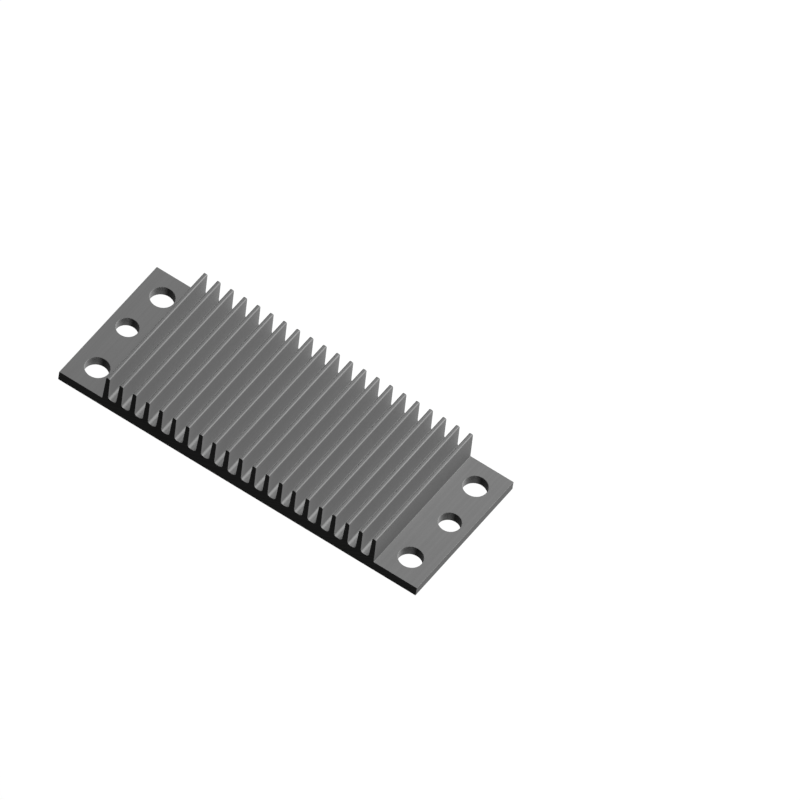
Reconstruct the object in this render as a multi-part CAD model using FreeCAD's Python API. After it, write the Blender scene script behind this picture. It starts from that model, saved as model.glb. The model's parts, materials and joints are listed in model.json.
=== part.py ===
# Extruded aluminium heat sink for a small board-mounted power module.
#
# One piece: an aluminium extrusion, sawn to the module's width, with a thin flange left bare
# at each end of the fin bank and three holes drilled through each flange. The fins are
# part of the extruded section, so the whole shape is that section swept in one direction.
#
# Frame, in millimetres: the origin is the centre of the underside, which seats on the
# module. X runs along the base and across the fins, Y is the direction of extrusion and
# so runs along the fins, and Z is up, from the underside to the fin tips.

import FreeCAD, Part
import math
import os

from FreeCAD import Vector

# Base plate
base_length = 58.4             # along X, over both flanges
base_width = 23.2              # along Y, between the two sawn faces
flange_thickness = 1.6         # of the bare plate at each end
core_thickness = 2.05          # of the plate under the channels between the fins
upper_corner_radius = 0.05     # on the flanges' outer edges, from the die
lower_corner_radius = 0.12     # on the underside's outer edges, from the die

# Fins, as many as fit between the flanges
overall_height = 6.1           # from the underside to the fin tips
end_to_first_fin = 7.5         # from an end of the base to the middle of the nearest fin
fin_pitch = 2.17               # from one fin's middle to the next
fin_tip_thickness = 0.6        # between the two sides, where they reach the tip
fin_draft_degrees = 2.0        # lean of each side, so a fin is thicker at its root
fin_tip_radius = 0.2
channel_root_radius = 0.5      # where a fin meets the floor of a channel
flange_root_radius = 0.05      # where the first and last fin meet a flange

# Screw holes in the flanges, one near each corner of the base
corner_hole_diameter = 3.5
corner_hole_from_end = 3.6     # from the end of the base to the hole's middle
corner_hole_from_side = 3.85   # from the sawn face to the hole's middle

# Smaller holes between the corner holes, one in each flange
middle_hole_diameter = 3.2
middle_hole_from_end = 2.85
middle_hole_offset_y = 0.5     # from the middle of the base, towards +Y

# Drilling
hole_deburr = 0.05             # width of the 45 degree break on both rims of a hole
drill_overrun = 0.2            # how far a tool passes the plate, so that it cuts right through

# Two points closer than this are one point.
same_point = 1e-6


def fin_middles():
    """The X of each fin's middle, from left to right, centred on the base."""
    bank_length = base_length - 2 * end_to_first_fin
    channel_count = math.floor(bank_length / fin_pitch + same_point)
    first = -channel_count * fin_pitch / 2
    return [first + number * fin_pitch for number in range(channel_count + 1)]


def fin_half_thickness(height):
    """Half a fin's thickness at a height above the underside."""
    below_tip = overall_height - height
    return fin_tip_thickness / 2 + below_tip * math.tan(math.radians(fin_draft_degrees))


def fin_corners(middle, right_foot, left_foot):
    """One fin's outline from right to left, as (x, z, corner radius).

    Each foot is the height at which that side of the fin starts, and its root radius.
    """
    corners = []
    foot_height, root_radius = right_foot
    corners.append((middle + fin_half_thickness(foot_height), foot_height, root_radius))
    corners.append((middle + fin_half_thickness(overall_height), overall_height, fin_tip_radius))
    corners.append((middle - fin_half_thickness(overall_height), overall_height, fin_tip_radius))
    foot_height, root_radius = left_foot
    corners.append((middle - fin_half_thickness(foot_height), foot_height, root_radius))
    return corners


def section_corners():
    """The extruded section, anticlockwise from its lower left corner."""
    end = base_length / 2
    flange_foot = (flange_thickness, flange_root_radius)
    channel_foot = (core_thickness, channel_root_radius)
    middles = fin_middles()

    corners = [(-end, 0, lower_corner_radius),
               (end, 0, lower_corner_radius),
               (end, flange_thickness, upper_corner_radius)]
    for middle in reversed(middles):
        right_foot = flange_foot if middle == middles[-1] else channel_foot
        left_foot = flange_foot if middle == middles[0] else channel_foot
        corners += fin_corners(middle, right_foot, left_foot)
    corners.append((-end, flange_thickness, upper_corner_radius))
    return corners


def rounded_corner(before, corner, after, radius):
    """Start, middle and end of the arc that rounds a corner.

    The arc uses no more than half of the shorter side, so that two arcs on one short side,
    such as a fin's tip or a channel's floor, meet at its middle at most.
    """
    towards_before = before - corner
    towards_after = after - corner
    shorter_side = min(towards_before.Length, towards_after.Length)
    towards_before.normalize()
    towards_after.normalize()
    half_angle = towards_before.getAngle(towards_after) / 2
    trimmed = min(radius / math.tan(half_angle), shorter_side / 2)
    fitted_radius = trimmed * math.tan(half_angle)

    bisector = towards_before + towards_after
    bisector.normalize()
    start = corner + towards_before * trimmed
    end = corner + towards_after * trimmed
    middle = corner + bisector * (fitted_radius / math.sin(half_angle) - fitted_radius)
    return start, middle, end


def section_face():
    """The section as a face in the plane of the front sawn face."""
    front = -base_width / 2
    corners = section_corners()
    points = [Vector(x, front, z) for x, z, radius in corners]
    arcs = []
    for index, (x, z, radius) in enumerate(corners):
        following = points[(index + 1) % len(points)]
        arcs.append(rounded_corner(points[index - 1], points[index], following, radius))

    edges = []
    for index, (start, middle, end) in enumerate(arcs):
        previous_end = arcs[index - 1][2]
        if previous_end.distanceToPoint(start) > same_point:
            edges.append(Part.LineSegment(previous_end, start).toShape())
        edges.append(Part.Arc(start, middle, end).toShape())
    return Part.Face(Part.Wire(edges))


def drilled_hole(diameter, x, y):
    """What a drill and a deburring tool take out of a flange at one hole."""
    radius = diameter / 2
    wide = radius + hole_deburr + drill_overrun
    over = flange_thickness + drill_overrun
    profile = [Vector(0, 0, -drill_overrun),
               Vector(wide, 0, -drill_overrun),
               Vector(radius, 0, hole_deburr),
               Vector(radius, 0, flange_thickness - hole_deburr),
               Vector(wide, 0, over),
               Vector(0, 0, over)]
    outline = Part.makePolygon(profile + profile[:1])
    tool = Part.Face(outline).revolve(Vector(0, 0, 0), Vector(0, 0, 1), 360)
    tool.translate(Vector(x, y, 0))
    return tool


def flange_holes():
    """The four corner holes and the two smaller holes between them."""
    holes = []
    corner_x = base_length / 2 - corner_hole_from_end
    corner_y = base_width / 2 - corner_hole_from_side
    middle_x = base_length / 2 - middle_hole_from_end
    for end in (-1, 1):
        holes.append(drilled_hole(corner_hole_diameter, end * corner_x, -corner_y))
        holes.append(drilled_hole(corner_hole_diameter, end * corner_x, corner_y))
        holes.append(drilled_hole(middle_hole_diameter, end * middle_x, middle_hole_offset_y))
    return holes


heat_sink = section_face().extrude(Vector(0, base_width, 0))
heat_sink = heat_sink.cut(flange_holes())
heat_sink = heat_sink.Solids[0]

os.makedirs("parts", exist_ok=True)
heat_sink.exportStep("parts/heat_sink.step")

box = heat_sink.BoundBox
print("heat_sink valid:", heat_sink.isValid(), "faces:", len(heat_sink.Faces))
print("size, mm:", round(box.XLength, 3), round(box.YLength, 3), round(box.ZLength, 3))
print("volume, cm3:", round(heat_sink.Volume / 1000, 3))
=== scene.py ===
# %% [markdown]
# # An anodised heat sink, dressed for its portrait
#
# The object is one aluminium extrusion: a flat base, a drilled flange at each end, and a
# bank of thin fins between them. Its whole shape is metal, so the imported solid stays as it
# is, and this lesson is about what the eye reads on it: drawn, sawn and drilled metal, a
# camera that flattens perspective, and soft light that lets the thin fins draw their own
# lines.
#
# We start with the frame, which holds the solid in metres, and read its box for the sizes
# below.

# %% Load the frame
import json
import math

import bpy
from mathutils import Matrix, Vector


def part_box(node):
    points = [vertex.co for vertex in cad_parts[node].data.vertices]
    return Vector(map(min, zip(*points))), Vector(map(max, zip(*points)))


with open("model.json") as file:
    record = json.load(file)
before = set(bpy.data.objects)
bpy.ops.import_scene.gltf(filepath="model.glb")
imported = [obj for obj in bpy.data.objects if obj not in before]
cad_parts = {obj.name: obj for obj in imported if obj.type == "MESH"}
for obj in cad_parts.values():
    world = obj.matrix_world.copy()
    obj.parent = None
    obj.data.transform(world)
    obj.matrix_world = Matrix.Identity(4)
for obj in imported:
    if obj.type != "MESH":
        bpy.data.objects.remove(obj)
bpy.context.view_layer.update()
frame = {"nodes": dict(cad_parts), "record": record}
heat_sink = frame["nodes"]["heat_sink"]

MM = 0.001
length, width, height = (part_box("heat_sink")[1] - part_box("heat_sink")[0]) / MM
mounts = {mount["name"]: mount for mount in frame["record"]["mounts"]}
print("heat sink, mm:", [round(side, 2) for side in (length, width, height)])

# %% [markdown]
# Colours are written as the hex values that a colour picker shows, which are sRGB. Shaders
# work in linear light, so one function turns the first into the second.

# %% Colours
def linear(hex_colour):
    """An RGBA colour in linear light from an sRGB hex value."""
    channels = [int(hex_colour[i:i + 2], 16) / 255 for i in (1, 3, 5)]
    light = [c / 12.92 if c <= 0.04045 else ((c + 0.055) / 1.055) ** 2.4 for c in channels]
    return (*light, 1.0)


print("mid grey in linear light:", round(linear("#7a7a7a")[0], 3))

# %% [markdown]
# A material is a small graph. This one helper adds a node, sets its own values, and plugs
# in whatever it is given: another node's output, a number or a colour. Sockets that share
# a name are given by their number instead. On a Mix node, _0 is the factor, and _2 and _3
# are the numbers that it mixes.

# %% One helper for every node
def add_node(tree, kind, settings=None, **inputs):
    """A new node: settings are its own values, inputs are its sockets by name or number."""
    node = tree.nodes.new(kind)
    for name, value in (settings or {}).items():
        setattr(node, name, value)
    for name, value in inputs.items():
        key = int(name[1:]) if name[0] == "_" and name[1:].isdigit() else name.replace("_", " ")
        socket = node.inputs[key]
        if isinstance(value, bpy.types.NodeSocket):
            tree.links.new(value, socket)
        else:
            socket.default_value = value
    return node


def new_tree(name):
    """A material with an empty graph, and the graph."""
    material = bpy.data.materials.new(name)
    material.use_nodes = True
    material.node_tree.nodes.clear()
    print("new material:", name)
    return material, material.node_tree


# %% [markdown]
# The photograph is a parallel projection: opposite edges of the base stay parallel. A very
# long lens from far away gives the same picture, and keeps its framing when the camera
# goes round the object. The camera is also rolled a little, so the fins lean to the right.

# %% Camera
VIEW_AZIMUTH = math.radians(26.57)
VIEW_ELEVATION = math.radians(51.11)
VIEW_ROLL = math.radians(9.82)
LENS_MM = 1200.0
CLIP_SPAN = 10                     # from a tenth of the camera's distance to ten times it
FRAME_WIDTH = 107.35 * MM          # what the picture spans at the object
AIM_RIGHT = 15.424 * MM            # from the middle of the underside to the picture's middle
AIM_UP = 4.595 * MM

back = Vector((math.sin(VIEW_AZIMUTH) * math.cos(VIEW_ELEVATION),
               -math.cos(VIEW_AZIMUTH) * math.cos(VIEW_ELEVATION),
               math.sin(VIEW_ELEVATION)))
level_right = Vector((math.cos(VIEW_AZIMUTH), math.sin(VIEW_AZIMUTH), 0))
level_up = back.cross(level_right)
right = level_right * math.cos(VIEW_ROLL) + level_up * math.sin(VIEW_ROLL)
up = back.cross(right)

camera_data = bpy.data.cameras.new("camera")
camera_data.lens = LENS_MM
distance = FRAME_WIDTH * LENS_MM / camera_data.sensor_width
camera_data.clip_start = distance / CLIP_SPAN
camera_data.clip_end = distance * CLIP_SPAN
camera = bpy.data.objects.new("camera", camera_data)
stand = right * AIM_RIGHT + up * AIM_UP + back * distance
turn = Matrix((right, up, back)).transposed().to_4x4()
camera.matrix_world = Matrix.Translation(stand) @ turn
bpy.context.collection.objects.link(camera)
bpy.context.scene.camera = camera
bpy.context.scene.view_settings.view_transform = "Standard"
print("camera distance, m:", round(distance, 2))

# %% [markdown]
# Under the object lies a plain white sheet. A sheet lit only by soft lamps looks grey, so
# most of its white is emission, seen by the camera and in reflections. The rest is a
# diffuse surface, and that is what keeps the shade under the object.

# %% Floor
WHITE = "#ffffff"
PAPER_GREY = "#5c5c5c"             # of the part that takes light and shade
FLOOR_SIDE = 20.0                  # m
FLOOR_DROP = 0.02 * MM             # just clear of the underside
FLOOR_GLOW = 0.9                   # of the white, the rest comes from the light

floor_paper, tree = new_tree("floor_paper")
rays = add_node(tree, "ShaderNodeLightPath").outputs
seen = add_node(tree, "ShaderNodeMath", {"operation": "MAXIMUM"},
                _0=rays["Is Camera Ray"], _1=rays["Is Glossy Ray"]).outputs[0]
seen = add_node(tree, "ShaderNodeMath", {"operation": "MAXIMUM"},
                _0=seen, _1=rays["Is Transmission Ray"]).outputs[0]
glow = add_node(tree, "ShaderNodeMath", {"operation": "MULTIPLY"},
                _0=seen, _1=FLOOR_GLOW).outputs[0]
paper = add_node(tree, "ShaderNodeBsdfDiffuse", Color=linear(PAPER_GREY))
light = add_node(tree, "ShaderNodeEmission", Color=linear(WHITE), Strength=glow)
both = add_node(tree, "ShaderNodeAddShader", _0=paper.outputs[0], _1=light.outputs[0])
add_node(tree, "ShaderNodeOutputMaterial", Surface=both.outputs[0])

half = FLOOR_SIDE / 2
sheet = [(-half, -half, 0), (half, -half, 0), (half, half, 0), (-half, half, 0)]
floor_mesh = bpy.data.meshes.new("floor")
floor_mesh.from_pydata(sheet, [], [(0, 1, 2, 3)])
floor_mesh.materials.append(floor_paper)
floor = bpy.data.objects.new("floor", floor_mesh)
floor.location.z = -FLOOR_DROP
bpy.context.collection.objects.link(floor)
print("floor side, m:", FLOOR_SIDE)

# %% [markdown]
# Light comes from behind on the right. The round fin tips and channel roots pick up a bright
# line from it, the flat tops are mid grey, and the sawn front stays dark. A weaker light from
# the left opens up the sides that face away. It stands so low that the flat tops hardly take
# any of it, and it is small, to keep clear of the sheet. The channels are about three times
# as deep as they are wide, so an ordinary lamp leaves them black. A photographer would lift
# them with many small lights. Here the softboxes cast no shadow, which does the same, and
# the even white world adds the soft shade under the object.

# %% World and softboxes
WORLD_STRENGTH = 0.2
SOFTBOX_DISTANCE = 0.5             # m

world = bpy.data.worlds.new("studio")
world.use_nodes = True
world.node_tree.nodes.clear()
sky = add_node(world.node_tree, "ShaderNodeBackground", Color=linear(WHITE),
               Strength=WORLD_STRENGTH)
add_node(world.node_tree, "ShaderNodeOutputWorld", Surface=sky.outputs[0])
bpy.context.scene.world = world


def softbox(name, azimuth, elevation, side, brightness):
    """A square light without a shadow; its brightness is beside 1 for the floor's white."""
    lamp = bpy.data.lights.new(name, "AREA")
    lamp.shape = "SQUARE"
    lamp.size = side
    lamp.energy = brightness * math.pi * side ** 2
    lamp.use_shadow = False
    around, above = math.radians(azimuth), math.radians(elevation)
    towards = Vector((math.cos(above) * math.cos(around),
                      math.cos(above) * math.sin(around),
                      math.sin(above)))
    light = bpy.data.objects.new(name, lamp)
    light.location = towards * SOFTBOX_DISTANCE
    light.rotation_mode = "QUATERNION"
    light.rotation_quaternion = towards.to_track_quat("Z", "Y")
    light.visible_camera = False
    bpy.context.collection.objects.link(light)
    print(name, "at, m:", [round(c, 2) for c in light.location], "W:", round(lamp.energy, 2))


softbox("main_softbox", azimuth=60, elevation=28, side=0.2, brightness=46.0)
softbox("fill_softbox", azimuth=185, elevation=4, side=0.06, brightness=110.0)

# %% [markdown]
# The metal is grey anodised aluminium: a hot billet is pushed through a die, the bar is
# sawn to length and drilled, etched matt in caustic, and anodised. Its clear oxide holds
# the dye, so it still shows as metal, with a dark colour and a matt face. One material
# covers the part, and it knows three surfaces by where they are: the drawn skin, the two
# sawn faces and the drilled holes. Everything below is worked out in millimetres.

# %% Where each surface is
TOUCHING = 0.01                    # mm, for a point that lies on a face

anodised, tree = new_tree("grey_anodised_aluminium")
coordinates = add_node(tree, "ShaderNodeTexCoord").outputs
point = add_node(tree, "ShaderNodeVectorMath", {"operation": "SCALE"},
                 _0=coordinates["Object"], Scale=1 / MM).outputs[0]
axes = add_node(tree, "ShaderNodeSeparateXYZ", _0=point).outputs
off_x = add_node(tree, "ShaderNodeMath", {"operation": "ABSOLUTE"}, _0=axes["X"]).outputs[0]
off_y = add_node(tree, "ShaderNodeMath", {"operation": "ABSOLUTE"}, _0=axes["Y"]).outputs[0]

is_sawn = add_node(tree, "ShaderNodeMath", {"operation": "GREATER_THAN"},
                   _0=off_y, _1=width / 2 - TOUCHING).outputs[0]


def hole_walls(hole_x, hole_y, radius, y_axis):
    """1 on the walls of the holes that stand at plus and minus hole_x, 0 elsewhere."""
    flat = add_node(tree, "ShaderNodeCombineXYZ", X=off_x, Y=y_axis).outputs[0]
    from_hole = add_node(tree, "ShaderNodeVectorMath", {"operation": "DISTANCE"},
                         _0=flat, _1=(hole_x, hole_y, 0)).outputs["Value"]
    return add_node(tree, "ShaderNodeMath", {"operation": "LESS_THAN"},
                    _0=from_hole, _1=radius + TOUCHING).outputs[0]


corner, smaller = mounts["corner_holes"], mounts["middle_holes"]
corner_walls = hole_walls(corner["dims"]["spacing_x_mm"] / 2,
                          corner["dims"]["spacing_y_mm"] / 2,
                          corner["dims"]["hole_r_mm"], off_y)
middle_walls = hole_walls(smaller["dims"]["spacing_x_mm"] / 2, smaller["pos_m"][1] / MM,
                          smaller["dims"]["hole_r_mm"], axes["Y"])
is_drilled = add_node(tree, "ShaderNodeMath", {"operation": "MAXIMUM"},
                      _0=corner_walls, _1=middle_walls).outputs[0]


def by_surface(drawn, sawn, drilled):
    """Picks one of three values, numbers or sockets, by the surface that a point is on."""
    value = add_node(tree, "ShaderNodeMix", _0=is_sawn, _2=drawn, _3=sawn).outputs[0]
    return add_node(tree, "ShaderNodeMix", _0=is_drilled, _2=value, _3=drilled).outputs[0]


print("holes' middles, mm apart:", [hole["dims"]["spacing_x_mm"] for hole in (corner, smaller)])

# %% [markdown]
# The drawn skin carries die lines: fine streaks that run the whole length of the extrusion,
# because the die's own scratches print them. Noise squeezed across and stretched along
# gives them. Real ones are some hundredths of a millimetre apart. They are drawn 0.3 mm
# apart, or they would be too fine to see. The etch adds a grain all over, which is as fine
# and is drawn coarse too. The dye takes a little unevenly, which clouds the grey over
# several millimetres.

# %% Marks on the drawn skin
DIE_LINE = (0.3, 60.0, 0.3)        # mm, drawn coarse across and long along Y
ETCH_GRAIN = (0.16, 0.16, 0.16)    # mm, drawn coarse
DYE_CLOUD = (7.0, 7.0, 7.0)        # mm
GRAIN_SHARE = 0.3                  # beside the die lines
CLOUD_SHARE = 0.25                 # beside both


def speckle(place, size):
    """Soft uneven marks from 0 to 1, as large as the size along each axis."""
    steps = add_node(tree, "ShaderNodeVectorMath", {"operation": "DIVIDE"},
                     _0=place, _1=size).outputs[0]
    return add_node(tree, "ShaderNodeTexNoise", Vector=steps, Scale=1.0, Detail=2.0).outputs[0]


drawn_marks = add_node(tree, "ShaderNodeMix", _0=GRAIN_SHARE, _2=speckle(point, DIE_LINE),
                       _3=speckle(point, ETCH_GRAIN)).outputs[0]
drawn_marks = add_node(tree, "ShaderNodeMix", _0=CLOUD_SHARE, _2=drawn_marks,
                       _3=speckle(point, DYE_CLOUD)).outputs[0]
print("die lines, mm:", DIE_LINE[0], "etch grain, mm:", ETCH_GRAIN[0])

# %% [markdown]
# A circular saw leaves shallow arcs, all struck from the middle of its blade, because the
# tooth that stands out most scores the face once a turn. So the sawn pattern changes with
# one number only: the distance from that middle. A drill leaves rings, which change only
# with the hole's depth.

# %% Marks of the saw and the drill
BLADE_MIDDLE = (-90.0, 0.0, 175.0)  # mm, of a blade of about 400 mm that cuts from above
SAW_FEED = 0.22                    # mm a turn, from one arc to the next
DRILL_FEED = 0.16                  # mm a turn, which is the height of a ring

in_face = add_node(tree, "ShaderNodeVectorMath", {"operation": "MULTIPLY"},
                   _0=point, _1=(1, 0, 1)).outputs[0]
from_blade = add_node(tree, "ShaderNodeVectorMath", {"operation": "DISTANCE"},
                      _0=in_face, _1=BLADE_MIDDLE).outputs["Value"]
arcs = add_node(tree, "ShaderNodeCombineXYZ", X=from_blade).outputs[0]
depth = add_node(tree, "ShaderNodeCombineXYZ", Z=axes["Z"]).outputs[0]
saw_marks = speckle(arcs, (SAW_FEED, 1, 1))
drill_marks = speckle(depth, (1, 1, DRILL_FEED))
print("saw marks, mm:", SAW_FEED, "drill rings, mm:", DRILL_FEED)

# %% [markdown]
# Some places are set darker, to even out the light. The outer sides of the bank and the ends
# of the base face the white sheet and take its glow, and the feet of the fins are lit by
# lamps that cast no shadow. In the photograph the outer sides are darker than the flanges,
# and no bright line shows between the fins. Both are faces that stand across the base, so
# the way they face picks them out.
#
# The holes want back the shadow that the lamps don't cast. In the photograph each wall is
# grey on the left and nearly black from its middle to the right. So it keeps its grey where
# it has turned to +X, towards the light, and loses most of it elsewhere.
#
# Where the bank ends and where the channels have their floor is read from the solid: the
# first from the points at the height of the tips, the second from those between the fins.

# %% Shade by place
FACING_ACROSS = 0.8                # the least of its normal along X for a face across the base
LAST_FIN_SHARE = 0.76              # of the skin's grey, on the outer sides of the bank
BASE_END_SHARE = 0.58              # the same on the ends of the base
FOOT_SHARE = 0.7                   # and at the foot of a fin
FOOT_HEIGHT = 0.6                  # mm from the channel floor to where the full grey starts
HOLE_SHADE = 0.1                   # of the wall's grey, where it faces away from the light
SHADE_ENDS = (0.1, 0.5)            # how far the wall has turned to +X, from shade to full grey

points = [vertex.co / MM for vertex in heat_sink.data.vertices]
bank_half = max(abs(p.x) for p in points if p.z > height - TOUCHING)
channel_floor = min(p.z for p in points if p.z > TOUCHING and abs(p.x) < bank_half)

outer_share = add_node(tree, "ShaderNodeMapRange", Value=off_x,
                       From_Min=bank_half, From_Max=length / 2,
                       To_Min=LAST_FIN_SHARE, To_Max=BASE_END_SHARE).outputs[0]
foot_share = add_node(tree, "ShaderNodeMapRange", Value=axes["Z"],
                      From_Min=channel_floor, From_Max=channel_floor + FOOT_HEIGHT,
                      To_Min=FOOT_SHARE, To_Max=1.0).outputs[0]
outside_bank = add_node(tree, "ShaderNodeMath", {"operation": "GREATER_THAN"},
                        _0=off_x, _1=bank_half).outputs[0]
across_share = add_node(tree, "ShaderNodeMix", _0=outside_bank,
                        _2=foot_share, _3=outer_share).outputs[0]

facing = add_node(tree, "ShaderNodeSeparateXYZ", _0=coordinates["Normal"]).outputs["X"]
across = add_node(tree, "ShaderNodeMath", {"operation": "ABSOLUTE"}, _0=facing).outputs[0]
faces_across = add_node(tree, "ShaderNodeMath", {"operation": "GREATER_THAN"},
                        _0=across, _1=FACING_ACROSS).outputs[0]
skin_share = add_node(tree, "ShaderNodeMix", _0=faces_across,
                      _2=1.0, _3=across_share).outputs[0]
hole_share = add_node(tree, "ShaderNodeMapRange", Value=facing,
                      From_Min=SHADE_ENDS[0], From_Max=SHADE_ENDS[1],
                      To_Min=HOLE_SHADE, To_Max=1.0).outputs[0]
print("bank to, mm:", round(bank_half, 2), "channel floor, mm:", round(channel_floor, 2))

# %% [markdown]
# Now the three surfaces are put together. The sawn faces are painted nearly black. Rough sawn
# metal takes the dye only a little darker than the skin, and the rest is painted shade, the
# dark of faces that the light doesn't reach. The marks of each surface move its grey and its
# roughness between two values, and give the bump its height. A metal with a matt face scatters
# its reflections so widely that it hardly mirrors. On the sawn faces the specular tint halves
# the reflection at a glancing angle, as part of the same painted shade, and without it the
# white sheet would turn the black front grey.

# %% Grey anodised aluminium
# The sawn greys, the middle ones, are mostly painted shade: the dye alone makes sawn metal only
# a little darker than the skin.
MARKED_GREY = ("#747474", "#141414", "#707070")    # on the drawn, sawn and drilled surface
CLEAR_GREY = ("#828282", "#2c2c2c", "#909090")
MARKED_ROUGHNESS = (0.82, 0.8, 0.9)
CLEAR_ROUGHNESS = (0.74, 0.6, 0.8)
GLANCING_SHARE = (1.0, 0.5, 1.0)                   # of a metal's reflection at a low angle
RELIEF = (0.008, 0.02, 0.02)                       # mm, from the deepest mark to the highest

marks = by_surface(drawn_marks, saw_marks, drill_marks)
shade = add_node(tree, "ShaderNodeMapRange", Value=marks,
                 To_Min=by_surface(*[linear(colour)[0] for colour in MARKED_GREY]),
                 To_Max=by_surface(*[linear(colour)[0] for colour in CLEAR_GREY])).outputs[0]
shade = add_node(tree, "ShaderNodeMath", {"operation": "MULTIPLY"},
                 _0=shade, _1=by_surface(skin_share, 1.0, hole_share)).outputs[0]
grey = add_node(tree, "ShaderNodeCombineColor", Red=shade, Green=shade, Blue=shade).outputs[0]
roughness = add_node(tree, "ShaderNodeMapRange", Value=marks,
                     To_Min=by_surface(*MARKED_ROUGHNESS),
                     To_Max=by_surface(*CLEAR_ROUGHNESS)).outputs[0]
relief = add_node(tree, "ShaderNodeMath", {"operation": "MULTIPLY"},
                  _0=marks, _1=by_surface(*RELIEF)).outputs[0]
bumped = add_node(tree, "ShaderNodeBump", Height=relief, Distance=MM, Strength=1.0).outputs[0]

body = add_node(tree, "ShaderNodeBsdfPrincipled", Base_Color=grey, Roughness=roughness,
                Normal=bumped, Metallic=1.0, Specular_Tint=by_surface(*GLANCING_SHARE))
add_node(tree, "ShaderNodeOutputMaterial", Surface=body.outputs[0])
heat_sink.material_slots[0].material = anodised
print("nodes in", anodised.name + ":", len(tree.nodes))
